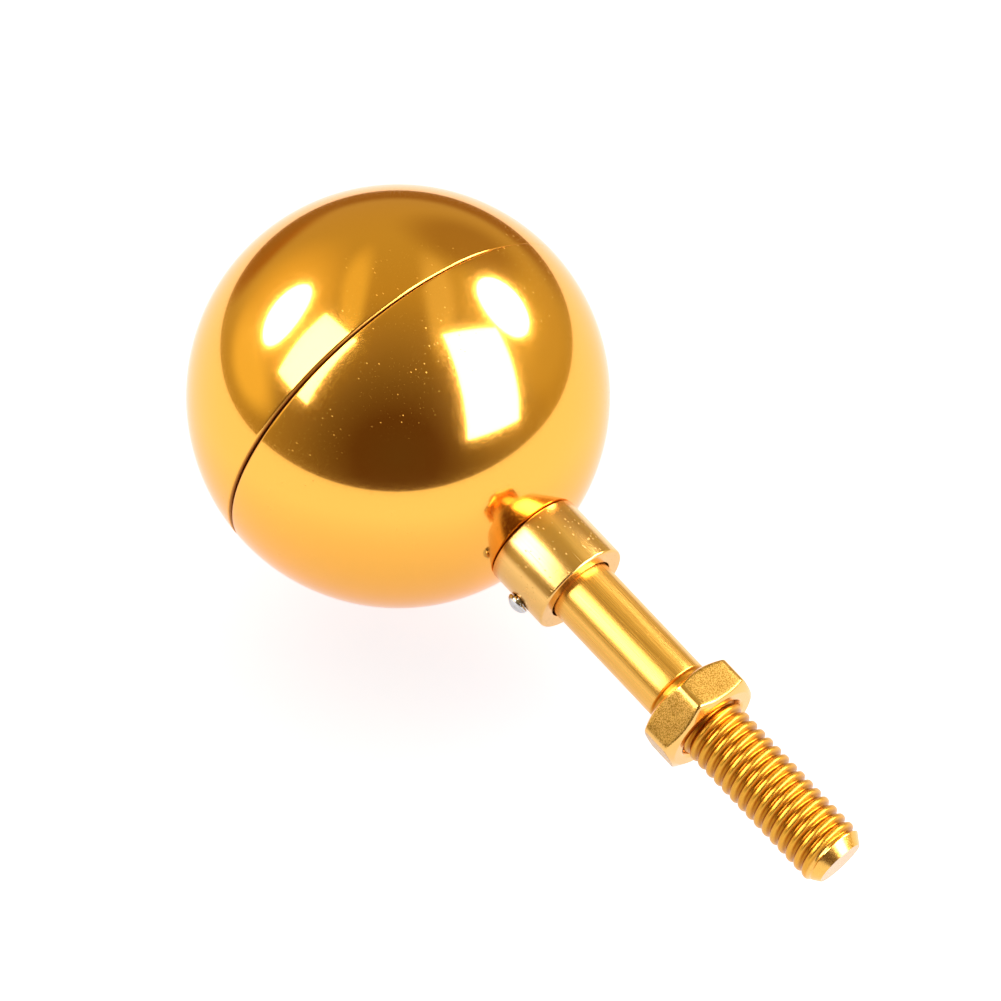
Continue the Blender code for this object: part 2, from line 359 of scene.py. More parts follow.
@dataclass(frozen=True)
class MirrorGold:
    """Polished gold anodising with clustered specks and hairlines, a faint haze and painted
    shade deep in the seam.
    """

    name: str = "mirror_gold"
    colour: Colour = (0.93, 0.465, 0.082)
    deep: Colour = (0.92, 0.445, 0.074)  # where the film is thicker
    deep_scale: float = 35.0
    edge: Colour = (0.98, 0.88, 0.87)  # tint at grazing angles
    seam_shade: Colour = (0.36, 0.14, 0.026)  # painted shade deep in the seam
    seam_shade_fade: Span = (0.03784, 0.03809)  # from the ball's centre
    gloss: float = 0.05  # roughness of the clean polish
    haze: float = 0.16  # roughness of its fine grain, which spreads a halo round the lamps
    haze_scale: float = 8000.0
    haze_fade: Span = (0.46, 0.60)
    scuffed: float = 0.42  # roughness that specks and hairlines add
    lip_dull: float = 0.34  # roughness that the seam's lips have besides
    lip_fade: Span = (0.03798, 0.03809)  # from the ball's centre
    speck_scale: float = 720.0
    speck_size: Span = (0.07, 0.13)
    speck_turn: Triple = (0.7, 0.4, 1.2)
    speck_stretch: Triple = (0.55, 1.3, 1.3)
    lines: tuple[tuple[Triple, float], ...] = (
        ((0.4, 1.1, 0.3), 120.0), ((1.3, 0.2, 2.1), 210.0))  # which way and how short
    line_scale: float = 2200.0  # hairlines per metre across them
    line_size: Span = (0.05, 0.11)
    line_strength: float = 0.7
    worn: tuple[Triple, ...] = ((-0.0187, -0.0186, 0.0640), (-0.0258, 0.0199, 0.0675),
                                (-0.0283, -0.0308, 0.0575))  # places with the most marks
    worn_reach: Span = (0.0044, 0.011)  # where such a place starts to fade and where it ends
    patch_scale: float = 48.0  # of the patches with more marks elsewhere
    patch_fade: Span = (0.50, 0.66)
    patch_share: Span = (0.10, 0.8)  # how many marks show between the patches and on them
    wave_scale: float = 24.0
    wave_depth: float = 0.00010

    def wear(self, sheet: Sheet) -> Socket:
        """Finds how many of the marks show: most in the worn places.

        Args:
            sheet: The material being drawn.

        Returns:
            The share of them, from zero to one.
        """
        share = sheet.span(sheet.noise(sheet.place, self.patch_scale), *self.patch_fade,
                           *self.patch_share)
        for middle in self.worn:
            apart = sheet.vector_math("DISTANCE", sheet.place, middle)
            near = sheet.span(apart, *self.worn_reach, 1.0, 0.0)
            share = sheet.math("MAXIMUM", share, near)
        return share

    def hairlines(self, sheet: Sheet, turn: Triple, length: float) -> Socket:
        """Draws sparse scratches that run one way.

        Args:
            sheet: The material being drawn.
            turn: Which way they run.
            length: Scale along them, per metre.

        Returns:
            The strength of a scratch, and zero elsewhere.
        """
        turned = sheet.moved(sheet.place, turn=turn)
        stretched = sheet.moved(turned, scale=(length, self.line_scale, self.line_scale))
        return sheet.dots(stretched, 1.0, self.line_size, self.line_strength)

    def material(self) -> bpy.types.Material:
        """Draws the finish.

        Returns:
            The finish as a material.
        """
        sheet = Sheet(self.name)
        dashes = sheet.moved(sheet.place, turn=self.speck_turn, scale=self.speck_stretch)
        marks = sheet.dots(dashes, self.speck_scale, self.speck_size)
        for turn, length in self.lines:
            marks = sheet.math("MAXIMUM", marks, self.hairlines(sheet, turn, length))
        scuffs = sheet.math("MULTIPLY", sheet.math("MULTIPLY", marks, self.wear(sheet)),
                            self.scuffed)
        grain = sheet.span(sheet.noise(sheet.place, self.haze_scale, 1.0), *self.haze_fade,
                           self.gloss, self.haze)
        inside = sheet.vector_math("DISTANCE", sheet.place, POSE.ball_centre)
        lip = sheet.span(inside, *self.lip_fade, self.lip_dull, 0.0)
        clean = sheet.mixed(sheet.noise(sheet.place, self.deep_scale), self.colour, self.deep)
        waves = sheet.noise(sheet.place, self.wave_scale, 1.0)
        return sheet.finished({
            "Metallic": 1.0, "Specular Tint": self.edge,
            "Roughness": sheet.math("ADD", sheet.math("ADD", grain, scuffs), lip),
            # painted shade: the seam's lips and faces, inside the ball's outline, take the dark
            # seam colour
            "Base Color": sheet.mixed(sheet.span(inside, *self.seam_shade_fade, 1.0, 0.0), clean,
                                      self.seam_shade),
            "Normal": sheet.bump(waves, self.wave_depth)})


@dataclass(frozen=True)
class TurnedGold:
    """Turned and anodised bar with fine lines along it, nicks and, where it has one, a thread
    with painted shade in its grooves.

    Places along the bar are distances from the ball's centre, and radii are distances
    from the spindle's axis.
    """

    name: str
    colour: Colour
    deep: Colour  # in the tool marks
    gloss: float  # roughness at its smoothest
    drawn: float = 0.10  # roughness that the fine lines add
    line_scale: Triple = (60.0, 5200.0, 5200.0)
    line_depth: float = 0.0000007
    line_fade: Span = (0.35, 0.75)  # where they dull the surface
    stain_scale: Triple = (25.0, 900.0, 900.0)  # of the broad stains that follow the bar
    stain: float = 0.35  # how much of the deep colour they bring
    stain_fade: Span = (0.35, 0.7)
    stained_lines: Span = (0.4, 0.65)  # the part of the lines that takes the deep colour
    stipple: float = 0.0000028  # depth of the fine even grain
    stipple_scale: float = 4600.0
    nick: float = 0.07  # size of a nick, as a share of the space between nicks
    nick_fade: Span = (0.6, 1.2)  # where a nick starts to fade and where it ends
    nick_scale: float = 1150.0
    nick_turn: Triple = (0.5, 0.9, 0.3)
    nick_stretch: Triple = (0.5, 1.2, 1.2)
    nick_depth: float = 0.00001
    scratch_scale: Triple = (24.0, 1900.0, 1900.0)
    scratch_size: Span = (0.03, 0.07)
    scuffed: float = 0.3  # roughness that nicks and scratches add
    thread: Colour = (0.66, 0.32, 0.038)  # on the crests
    # painted shade in the thread's grooves
    groove_shade: Colour = (0.42, 0.16, 0.012)
    thread_dull: float = 0.04  # roughness that the thread adds
    neck: float = 0.0759  # where the neck above the thread starts
    chamfer: float = 0.1171  # where the thread ends in the chamfer
    fade: float = 0.0004
    # radii between which the painted groove shade fades in
    groove_root: float = 0.00560
    groove_top: float = 0.00615
    end_bright: float = 0.03  # roughness that the end chamfer lacks
    end_face: Colour = (0.62, 0.38, 0.150)
    face_radius: Span = (0.00445, 0.00465)

    def material(self) -> bpy.types.Material:
        """Draws the finish.

        Returns:
            The finish as a material.
        """
        sheet = Sheet(self.name)
        along = sheet.along_spindle()
        lines = sheet.noise(sheet.moved(along, scale=self.line_scale), 1.0, 3.0, 0.6)
        stains = sheet.noise(sheet.moved(along, scale=self.stain_scale), 1.0)
        dashes = sheet.moved(sheet.place, turn=self.nick_turn, scale=self.nick_stretch)
        nicks = sheet.dots(dashes, self.nick_scale,
                           tuple(self.nick * share for share in self.nick_fade))
        scratches = sheet.dots(sheet.moved(along, scale=self.scratch_scale), 1.0,
                               self.scratch_size)
        distance = sheet.add("ShaderNodeSeparateXYZ", {"Vector": along}, "X")
        radius = sheet.vector_math("DISTANCE", sheet.moved(along, scale=(0.0, 1.0, 1.0)),
                                   (0.0, 0.0, 0.0))
        at_end = sheet.span(distance, self.chamfer, self.chamfer + self.fade, 0.0, 1.0)
        past_bar = sheet.span(distance, self.neck, self.neck + self.fade, 0.0, 1.0)
        on_thread = sheet.math("SUBTRACT", past_bar, at_end)
        on_face = sheet.math("MULTIPLY", at_end,
                             sheet.span(radius, *self.face_radius, 1.0, 0.0))
        # painted shade: towards the thread's root the colour turns to the dark groove colour
        groove_shade_share = sheet.span(radius, self.groove_root, self.groove_top, 1.0, 0.0)

        rough = sheet.span(lines, *self.line_fade, self.gloss, self.gloss + self.drawn)
        for operation, share, dull in (
                ("ADD", sheet.math("MAXIMUM", nicks, scratches), self.scuffed),
                ("ADD", on_thread, self.thread_dull), ("SUBTRACT", at_end, self.end_bright)):
            rough = sheet.math(operation, rough, sheet.math("MULTIPLY", share, dull))
        worn = sheet.math("MULTIPLY", sheet.span(stains, *self.stain_fade, 0.0, self.stain),
                          sheet.span(lines, *self.stained_lines, 0.0, 1.0))
        bar = sheet.mixed(on_face, sheet.mixed(worn, self.colour, self.deep), self.end_face)
        thread = sheet.mixed(groove_shade_share, self.thread, self.groove_shade)
        grooves = sheet.bump(lines, self.line_depth)
        grain = sheet.bump(sheet.noise(sheet.place, self.stipple_scale, 1.0), self.stipple,
                           grooves)
        dents = sheet.bump(sheet.math("SUBTRACT", 1.0, nicks), self.nick_depth, grain)
        return sheet.finished({"Metallic": 1.0, "Roughness": rough, "Normal": dents,
                               "Base Color": sheet.mixed(on_thread, bar, thread)})


@dataclass(frozen=True)
class GrainedGold:
    """Gold anodising: finely blasted flats between polished edges and chamfers, with painted
    shade between the flats' grains.
    """

    name: str = "grained_gold"
    colour: Colour = (0.72, 0.42, 0.105)
    deep: Colour = (0.36, 0.17, 0.024)  # painted shade between the grains
    pit_shade_fade: Span = (0.38, 0.60)
    polished: Colour = (0.86, 0.50, 0.150)
    gloss: float = 0.16  # roughness of the polished edges
    blasted: float = 0.12  # roughness that the blasting adds
    patchy: float = 0.04  # roughness that dull patches add
    patch_scale: float = 420.0
    patch_fade: Span = (0.3, 0.7)
    grain: float = 4800.0  # grains per metre
    grain_depth: float = 0.000023
    edge_grain: float = 0.04  # share of the grain's depth on the polished edges
    flats: str = "on_flat"  # the attribute that says what lies on a flat

    def material(self) -> bpy.types.Material:
        """Draws the finish.

        Returns:
            The finish as a material.
        """
        sheet = Sheet(self.name)
        on_flat = sheet.add("ShaderNodeAttribute", {}, "Fac", attribute_name=self.flats)
        grains = sheet.noise(sheet.place, self.grain, 1.0)
        # painted shade: the low points of the grain's bumps take the dark colour
        pit_shade = sheet.span(grains, *self.pit_shade_fade, 1.0, 0.0)
        patches = sheet.span(sheet.noise(sheet.place, self.patch_scale), *self.patch_fade,
                             0.0, self.patchy)
        blasting = sheet.math("MULTIPLY", on_flat, self.blasted)
        rough = sheet.math("ADD", sheet.math("ADD", blasting, patches), self.gloss)
        grained = sheet.mixed(pit_shade, self.colour, self.deep)
        relief = sheet.math("MULTIPLY", grains, sheet.math("ADD", on_flat, self.edge_grain))
        return sheet.finished({"Metallic": 1.0, "Roughness": rough,
                               "Base Color": sheet.mixed(on_flat, self.polished, grained),
                               "Normal": sheet.bump(relief, self.grain_depth)})


@dataclass(frozen=True)
class BrightSteel:
    """Bright plated steel with dull spots."""

    name: str = "bright_steel"
    colour: Colour = (0.62, 0.62, 0.63)
    deep: Colour = (0.46, 0.46, 0.47)  # of the dull spots
    spot_scale: float = 900.0
    spot_fade: Span = (0.45, 0.75)  # where they darken the surface
    dull_fade: Span = (0.3, 0.7)  # where they dull it
    gloss: float = 0.16
    spot_dull: float = 0.12  # roughness that the spots add
    dent_scale: float = 1400.0
    dent_depth: float = 0.00002

    def material(self) -> bpy.types.Material:
        """Draws the finish.

        Returns:
            The finish as a material.
        """
        sheet = Sheet(self.name)
        dull = sheet.noise(sheet.place, self.spot_scale, 3.0)
        spots = sheet.span(dull, *self.spot_fade, 0.0, 1.0)
        rough = sheet.span(dull, *self.dull_fade, self.gloss, self.gloss + self.spot_dull)
        dents = sheet.bump(sheet.noise(sheet.place, self.dent_scale), self.dent_depth)
        return sheet.finished({"Metallic": 1.0, "Roughness": rough, "Normal": dents,
                               "Base Color": sheet.mixed(spots, self.colour, self.deep)})


# The finial's pieces

class HalfSide(Enum):
    """Which half of the ball a piece is."""

    UPPER = "upper_half_ball"
    LOWER = "lower_half_ball"


class Piece:
    """What all pieces of the finial share."""

    node = ""
    slot = ""

    def finish_piece(self, item: bpy.types.Object, material: bpy.types.Material) -> None:
        """Lays a piece down, dresses it and hands it to the frame.

        Args:
            item: The piece's object, still upright.
            material: Its finish.
        """
        item.data.transform(POSE.matrix())
        item.data.materials.clear()
        item.data.materials.append(material)
        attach(item, "root")
        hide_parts(self.node)
        LOG.info("%s: %d faces", item.name, len(item.data.polygons))


@dataclass
class HalfBall(Piece):
    """One half of the ball, with the lip that rolls in to a seam that is open at one side."""

    side: HalfSide
    open_lip: float  # radius of the rolled lip where the seam is widest
    shut_lip: float  # and where it is tightest
    radius: float = BALL_RADIUS
    open_gap: float = 0.00015  # half of the seam where it is widest
    shut_gap: float = 0.000005  # and where it is tightest
    shut_turn: float = math.radians(44.0)  # about the spindle, where the seam is shut
    shut_span: float = math.radians(16.0)  # from there, how far it stays shut
    open_span: float = math.radians(120.0)  # from there, where it is wide open
    lean: float = math.radians(1.9)  # of the ball on its collar
    lean_turn: float = math.radians(66.0)
    face_depths: Triple = (0.0004, 0.002, 0.01)  # points of the seam's face, in from the lip
    segments: int = 288
    rings: int = 110
    lip_steps: int = 14

    def __post_init__(self) -> None:
        """Names the CAD node and the material slot."""
        self.node = self.side.value
        self.slot = "polished_gold_anodising"

    def profile(self, angle: float) -> Profile:
        """Gives the half's profile, from its crown to the middle of the seam face.

        Args:
            angle: The profile's turn about the ball's own axis.

        Returns:
            The profile as (radius, height) pairs.
        """
        away = abs(math.remainder(angle - self.shut_turn, math.tau))
        share = math.sqrt(share_of(away, self.shut_span, self.open_span))
        gap = self.shut_gap + (self.open_gap - self.shut_gap) * share
        lip = self.shut_lip + (self.open_lip - self.shut_lip) * share
        height = gap + lip
        centre = math.sqrt((self.radius - lip) ** 2 - height ** 2)
        meets = math.atan2(height, centre)
        round_side = arc((0.0, 0.0), self.radius, math.pi / 2, meets, self.rings)
        round_side[0] = (0.0, self.radius)
        rolled = arc((centre, height), lip, meets, -math.pi / 2, self.lip_steps)
        face = [(centre - depth, gap) for depth in self.face_depths] + [(0.0, self.open_gap)]
        sign = 1.0 if self.side is HalfSide.UPPER else -1.0
        return [(radius, sign * level) for radius, level in round_side + rolled[1:] + face]

    def build(self, material: bpy.types.Material) -> None:
        """Builds and dresses the half.

        Args:
            material: Its finish.
        """
        mesh = lathe(self.profile, self.segments).mesh(self.node)
        hinge = self.lean_turn + math.pi / 2
        axis = Vector((math.cos(hinge), math.sin(hinge), 0.0))
        mesh.transform(Matrix.Rotation(self.lean, 4, axis))
        item = new_object("ball_" + self.side.name.lower() + "_half", mesh)
        self.finish_piece(item, material)
        for vertex in item.data.vertices:
            vertex.co.z = max(vertex.co.z, 0.0)


@dataclass
class Collar(Piece):
    """The collar that the ball sits on, with the hole for its screw."""

    radius: float = 0.00945
    length: float = 0.01335
    bore: float = 0.00658  # radius of its bore
    edge: float = 0.00045  # radius of its outer lower edge
    rim: float = 0.00022  # radius of its other edges
    seat_gap: float = 0.00018  # between its seat and the ball
    hole: float = 0.00155  # radius of the screw's hole
    screw_place: float = 0.0060  # from the free end
    screw_turn: float = math.radians(-117.0)
    sharp: float = math.radians(32.0)
    segments: int = 192

    def __post_init__(self) -> None:
        """Names the CAD node and the material slot, and finds the lower end."""
        self.node = "collar"
        self.slot = "satin_gold_anodising"
        self.bottom = -math.sqrt(BALL_RADIUS ** 2 - self.radius ** 2) - self.length

    def seat(self, radius: float) -> float:
        """Returns the height of the seat under the ball at a radius."""
        return -math.sqrt((BALL_RADIUS + self.seat_gap) ** 2 - radius ** 2)

    def profile(self) -> Profile:
        """Gives the collar's closed profile, from the bore outwards over the seat.

        Returns:
            The profile as (radius, height) pairs.
        """
        rim = self.rim
        crest = self.radius - rim
        steps = 6
        radii = [self.bore + (crest - self.bore) * i / steps for i in range(steps + 1)]
        seat = [(radius, self.seat(radius)) for radius in radii]
        top_edge = arc((crest, self.seat(crest) - rim), rim, math.pi / 2, 0.0, steps=5)
        low_edge = arc((self.radius - self.edge, self.bottom + self.edge), self.edge,
                       0.0, -math.pi / 2, steps=8)
        bore_edge = arc((self.bore + rim, self.bottom + rim), rim, -math.pi / 2, -math.pi,
                        steps=5)
        return seat + top_edge + low_edge + bore_edge

    def screw_matrix(self) -> Matrix:
        """Returns the matrix that aims an upright item out of the screw's hole."""
        turn = Matrix.Rotation(self.screw_turn, 4, "Z") @ Matrix.Rotation(math.pi / 2, 4, "Y")
        return Matrix.Translation((0.0, 0.0, self.bottom + self.screw_place)) @ turn

    def drill(self, item: bpy.types.Object) -> None:
        """Drills the screw's hole.

        Args:
            item: The collar's object, still upright.
        """
        outside = 2 * self.radius
        within = self.bore / 2
        bit = lathe([(0.0, outside), (self.hole, outside), (self.hole, within),
                     (0.0, within)], 48).mesh("drill")
        bit.transform(self.screw_matrix())
        drill = new_object("drill", bit)
        modifier = item.modifiers.new("hole", "BOOLEAN")
        modifier.operation = "DIFFERENCE"
        modifier.solver = "EXACT"
        modifier.object = drill
        settle(item)
        bpy.data.objects.remove(drill, do_unlink=True)
        tidy_mesh(item.data, MERGE)

    def build(self, material: bpy.types.Material) -> None:
        """Builds, drills and dresses the collar.

        Args:
            material: Its finish.
        """
        mesh = lathe(self.profile(), self.segments, closed=True).mesh(self.node)
        item = new_object("collar_ring", mesh)
        self.drill(item)
        item.data.set_sharp_from_angle(angle=self.sharp)
        self.finish_piece(item, material)


@dataclass
class SetScrew(Piece):
    """The bright domed screw in the collar's side."""

    collar: Collar
    head: float = 0.00215  # radius of its head
    rim: float = 0.00055  # height of the head's straight rim
    dome: float = 0.00105  # height of its dome
    lift: float = 0.00014  # gap between the head and the collar
    soft: float = 0.0001  # size of the rim's soft edges
    shank: float = 0.0014  # radius of its shank
    shank_end: float = 0.00655  # from the spindle's axis
    sharp: float = math.radians(50.0)

    def __post_init__(self) -> None:
        """Names the CAD node and the material slot."""
        self.node = "set_screw"
        self.slot = "bright_steel"

    def profile(self) -> Profile:
        """Gives the screw's profile from the top of its dome down to its shank's end.

        Returns:
            The profile as (radius, height) pairs.
        """
        base = self.collar.radius + self.lift
        shoulder = base + self.rim
        ball = (self.head ** 2 + self.dome ** 2) / (2 * self.dome)
        centre = shoulder + self.dome - ball
        dome = arc((0.0, centre), ball, math.pi / 2, math.asin((shoulder - centre) / ball), 20)
        dome[0] = (0.0, shoulder + self.dome)
        soft = self.soft
        rim = [(self.head - soft, shoulder + soft / 2), (self.head, shoulder - soft),
               (self.head, base + soft), (self.head - soft, base)]
        shank = [(self.shank, base), (self.shank, self.shank_end), (0.0, self.shank_end)]
        return dome[:-1] + rim + shank

    def build(self, material: bpy.types.Material) -> None:
        """Builds and dresses the screw.

        Args:
            material: Its finish.
        """
        mesh = lathe(self.profile(), 72).mesh(self.node)
        mesh.transform(self.collar.screw_matrix())
        item = new_object("domed_screw", mesh)
        item.data.set_sharp_from_angle(angle=self.sharp)
        self.finish_piece(item, material)


@dataclass
class Spindle(Piece):
    """The round bar with its thread, which geometry nodes wind."""

    radius: float = 0.00625
    top: float = -0.0387  # height of its head under the ball
    head_chamfer: float = 0.0006
    bottom: float = -0.1194095  # height of its end face
    thread_top: float = -0.0842095  # height at which the thread starts, inside the nut
    neck_top: float = -0.0761095  # height at which the neck above the nut starts
    neck_bottom: float = -0.0786095  # height at which it ends, just inside the nut
    neck_depth: float = 0.0004
    neck_edge: float = 0.0004  # radius of the bar's softened edge above the neck
    pitch: float = 0.0254 / 12
    depth: float = 0.00072  # of the thread
    crest: float = 0.00066  # width of the thread's crest
    root: float = 0.00040  # width of its root
    rounding: float = 0.4  # share of a rounded groove in its shape
    round_root: float = 0.2  # width of the rounded groove's root, as a share of the straight
    round_mouth: float = 0.10  # how far its mouth is wider at each side, in pitches
    run_in: float = 0.5  # pitches over which the thread deepens
    turn: float = math.radians(214.0)  # of the thread at its start
    end_radius: float = 0.00465
    end_length: float = 0.0022  # of the end chamfer
    end_skew: float = math.radians(7.0)  # of the end face, off square
    end_turn: float = math.radians(-31.0)  # of the end face's longer side
    end_extra: float = 0.00020  # how far the skewed face's centre stands out
    merge: float = 2e-6
    sharp: float = math.radians(38.0)
    columns: int = 112  # steps round the spindle
    rows: int = 18  # steps along it for each pitch
    bar_rows: int = 24

    def __post_init__(self) -> None:
        """Names the CAD node and the material slot."""
        self.node = "spindle"
        self.slot = "satin_gold_anodising"

    def thread_tree(self) -> bpy.types.NodeTree:
        """Draws the node tree that winds the thread.

        Returns:
            A geometry node tree with named inputs for the thread's sizes.
        """
        tree = bpy.data.node_groups.new("wound_thread", "GeometryNodeTree")
        sizes = ("Radius", "Pitch", "Depth", "Crest", "Root", "Turn", "Top", "Bottom",
                 "End Radius", "End Length", "Turns")
        for way, kind, names in (("INPUT", "NodeSocketGeometry", ("Geometry",)),
                                 ("INPUT", "NodeSocketFloat", sizes),
                                 ("INPUT", "NodeSocketInt", ("Columns", "Rows")),
                                 ("INPUT", "NodeSocketMaterial", ("Finish",)),
                                 ("OUTPUT", "NodeSocketGeometry", ("Geometry",))):
            for name in names:
                tree.interface.new_socket(name=name, in_out=way, socket_type=kind)
        bench = NodeBench(tree)
        calc = bench.math
        given = bench.nodes.new("NodeGroupInput").outputs

        grid = bench.add("GeometryNodeMeshGrid", {
            "Size X": 1.0, "Size Y": 1.0, "Vertices X": calc("ADD", given["Columns"], 1.0),
            "Vertices Y": calc("ADD", calc("MULTIPLY", given["Turns"], given["Rows"]), 1.0)},
            "Mesh")
        place = bench.add("GeometryNodeInputPosition", {}, "Position")
        round_share, along_share = (
            calc("ADD", bench.add("ShaderNodeSeparateXYZ", {"Vector": place}, axis), 0.5)
            for axis in "XY")
        angle = calc("MULTIPLY", round_share, math.tau)

        # The phase is a whole number in the middle of the groove
        phase = calc("MULTIPLY", calc("SUBTRACT", 0.0, along_share), given["Turns"])
        behind = calc("SUBTRACT", calc("DIVIDE", given["Turn"], math.tau), round_share)
        wound = calc("MULTIPLY", calc("SUBTRACT", calc("ADD", phase, 1.0), behind),
                     given["Pitch"])
        height = calc("MINIMUM", calc("ADD", given["Top"], wound), given["Top"])
        height = calc("MAXIMUM", height, given["Bottom"])
        fallen = calc("SUBTRACT", height, given["Top"])
        true_phase = calc("ADD", calc("DIVIDE", fallen, given["Pitch"]), behind)
        off_groove = calc("FRACT", calc("ADD", true_phase, 0.5))
        off_groove = calc("ABSOLUTE", calc("SUBTRACT", off_groove, 0.5))
        root_half, crest_half = (
            calc("DIVIDE", given[name], calc("MULTIPLY", given["Pitch"], 2.0))
            for name in ("Root", "Crest"))
        mouth = calc("SUBTRACT", 0.5, crest_half)
        straight = bench.span(off_groove, root_half, mouth, 1.0, 0.0, smooth=False)
        rounded = bench.span(off_groove, calc("MULTIPLY", root_half, self.round_root),
                             calc("ADD", mouth, self.round_mouth), 1.0, 0.0)
        cut = calc("ADD", calc("MULTIPLY", straight, 1.0 - self.rounding),
                   calc("MULTIPLY", rounded, self.rounding))
        run_in = bench.span(calc("SUBTRACT", given["Top"], height), 0.0,
                            calc("MULTIPLY", given["Pitch"], self.run_in), 0.0, 1.0,
                            smooth=False)
        cut = calc("MULTIPLY", calc("MULTIPLY", cut, run_in), given["Depth"])
        threaded = calc("SUBTRACT", given["Radius"], cut)
        slope = calc("DIVIDE", calc("SUBTRACT", given["Radius"], given["End Radius"]),
                     given["End Length"])
        rise = calc("MULTIPLY", calc("SUBTRACT", height, given["Bottom"]), slope)
        reach = calc("MINIMUM", threaded, calc("ADD", given["End Radius"], rise))

        point = bench.add("ShaderNodeCombineXYZ", {
            "X": calc("MULTIPLY", reach, calc("COSINE", angle)),
            "Y": calc("MULTIPLY", reach, calc("SINE", angle)), "Z": height}, "Vector")
        surface = grid
        for kind, inputs in (("GeometryNodeSetPosition", {"Position": point}),
                             ("GeometryNodeMergeByDistance", {"Distance": MERGE}),
                             ("GeometryNodeRealizeInstances", {}),
                             ("GeometryNodeSetMaterial", {"Material": given["Finish"]})):
            surface = bench.add(kind, {"Geometry": surface, **inputs}, "Geometry")
        bench.feed(surface, bench.nodes.new("NodeGroupOutput").inputs["Geometry"])
        return tree

    def thread_mesh(self, material: bpy.types.Material) -> bpy.types.Mesh:
        """Winds the thread.

        Args:
            material: Its finish.

        Returns:
            The thread as a plain open mesh.
        """
        holder = new_object("thread_holder", bpy.data.meshes.new("thread_holder"))
        modifier = holder.modifiers.new("wound_thread", "NODES")
        tree = self.thread_tree()
        modifier.node_group = tree
        turns = math.ceil((self.thread_top - self.bottom) / self.pitch) + 2
        values = {"Radius": self.radius, "Pitch": self.pitch, "Depth": self.depth,
                  "Crest": self.crest, "Root": self.root, "Turn": self.turn,
                  "Top": self.thread_top, "Bottom": self.bottom, "End Radius": self.end_radius,
                  "End Length": self.end_length, "Turns": float(turns), "Columns": self.columns,
                  "Rows": self.rows, "Finish": material}
        for socket in tree.interface.items_tree:
            if socket.in_out == "INPUT" and socket.name in values:
                modifier[socket.identifier] = values[socket.name]
        settle(holder)
        mesh = holder.data
        bpy.data.objects.remove(holder, do_unlink=True)
        return mesh

    def bar(self) -> Draft:
        """Turns the plain bar with its neck above the thread, and the end face.

        Returns:
            The two surfaces, which the thread joins.
        """
        start = self.top - self.head_chamfer
        shoulder = arc((self.radius - self.neck_edge,
                        self.neck_top + self.neck_edge * math.tan(math.pi / 8)),
                       self.neck_edge, 0.0, -math.pi / 4, steps=6)
        fall = shoulder[0][1] - start
        neck = self.radius - self.neck_depth
        profile = [(0.0, self.top), (self.radius - self.head_chamfer, self.top)]
        profile += [(self.radius, start + fall * i / self.bar_rows)
                    for i in range(self.bar_rows)] + shoulder
        profile += [(neck, self.neck_top - self.neck_depth), (neck, self.neck_bottom),
                    (self.radius, self.neck_bottom - self.neck_depth),
                    (self.radius, self.thread_top)]
        draft = lathe(profile, self.columns)
        draft.add(lathe([(self.end_radius * share, self.bottom) for share in (1.0, 0.6, 0.0)],
                        self.columns))
        return draft

    def skew_end(self, mesh: bpy.types.Mesh) -> None:
        """Moves the end face off square, and the chamfer with it.

        Args:
            mesh: The spindle's mesh, still upright.
        """
        slope = math.tan(self.end_skew)
        for vertex in mesh.vertices:
            share = 1.0 - (vertex.co.z - self.bottom) / self.end_length
            if share > 0.0:
                aside = vertex.co.x * math.cos(self.end_turn)
                aside += vertex.co.y * math.sin(self.end_turn)
                vertex.co.z -= share * (self.end_extra + aside * slope)

    def build(self, material: bpy.types.Material) -> None:
        """Builds and dresses the spindle.

        Args:
            material: Its finish.
        """
        thread = self.thread_mesh(material)
        draft = Draft([tuple(vertex.co) for vertex in thread.vertices],
                      [tuple(polygon.vertices) for polygon in thread.polygons])
        draft.add(self.bar())
        item = new_object("threaded_spindle", draft.mesh(self.node, self.merge))
        self.skew_end(item.data)
        item.data.set_sharp_from_angle(angle=self.sharp)
        self.finish_piece(item, material)


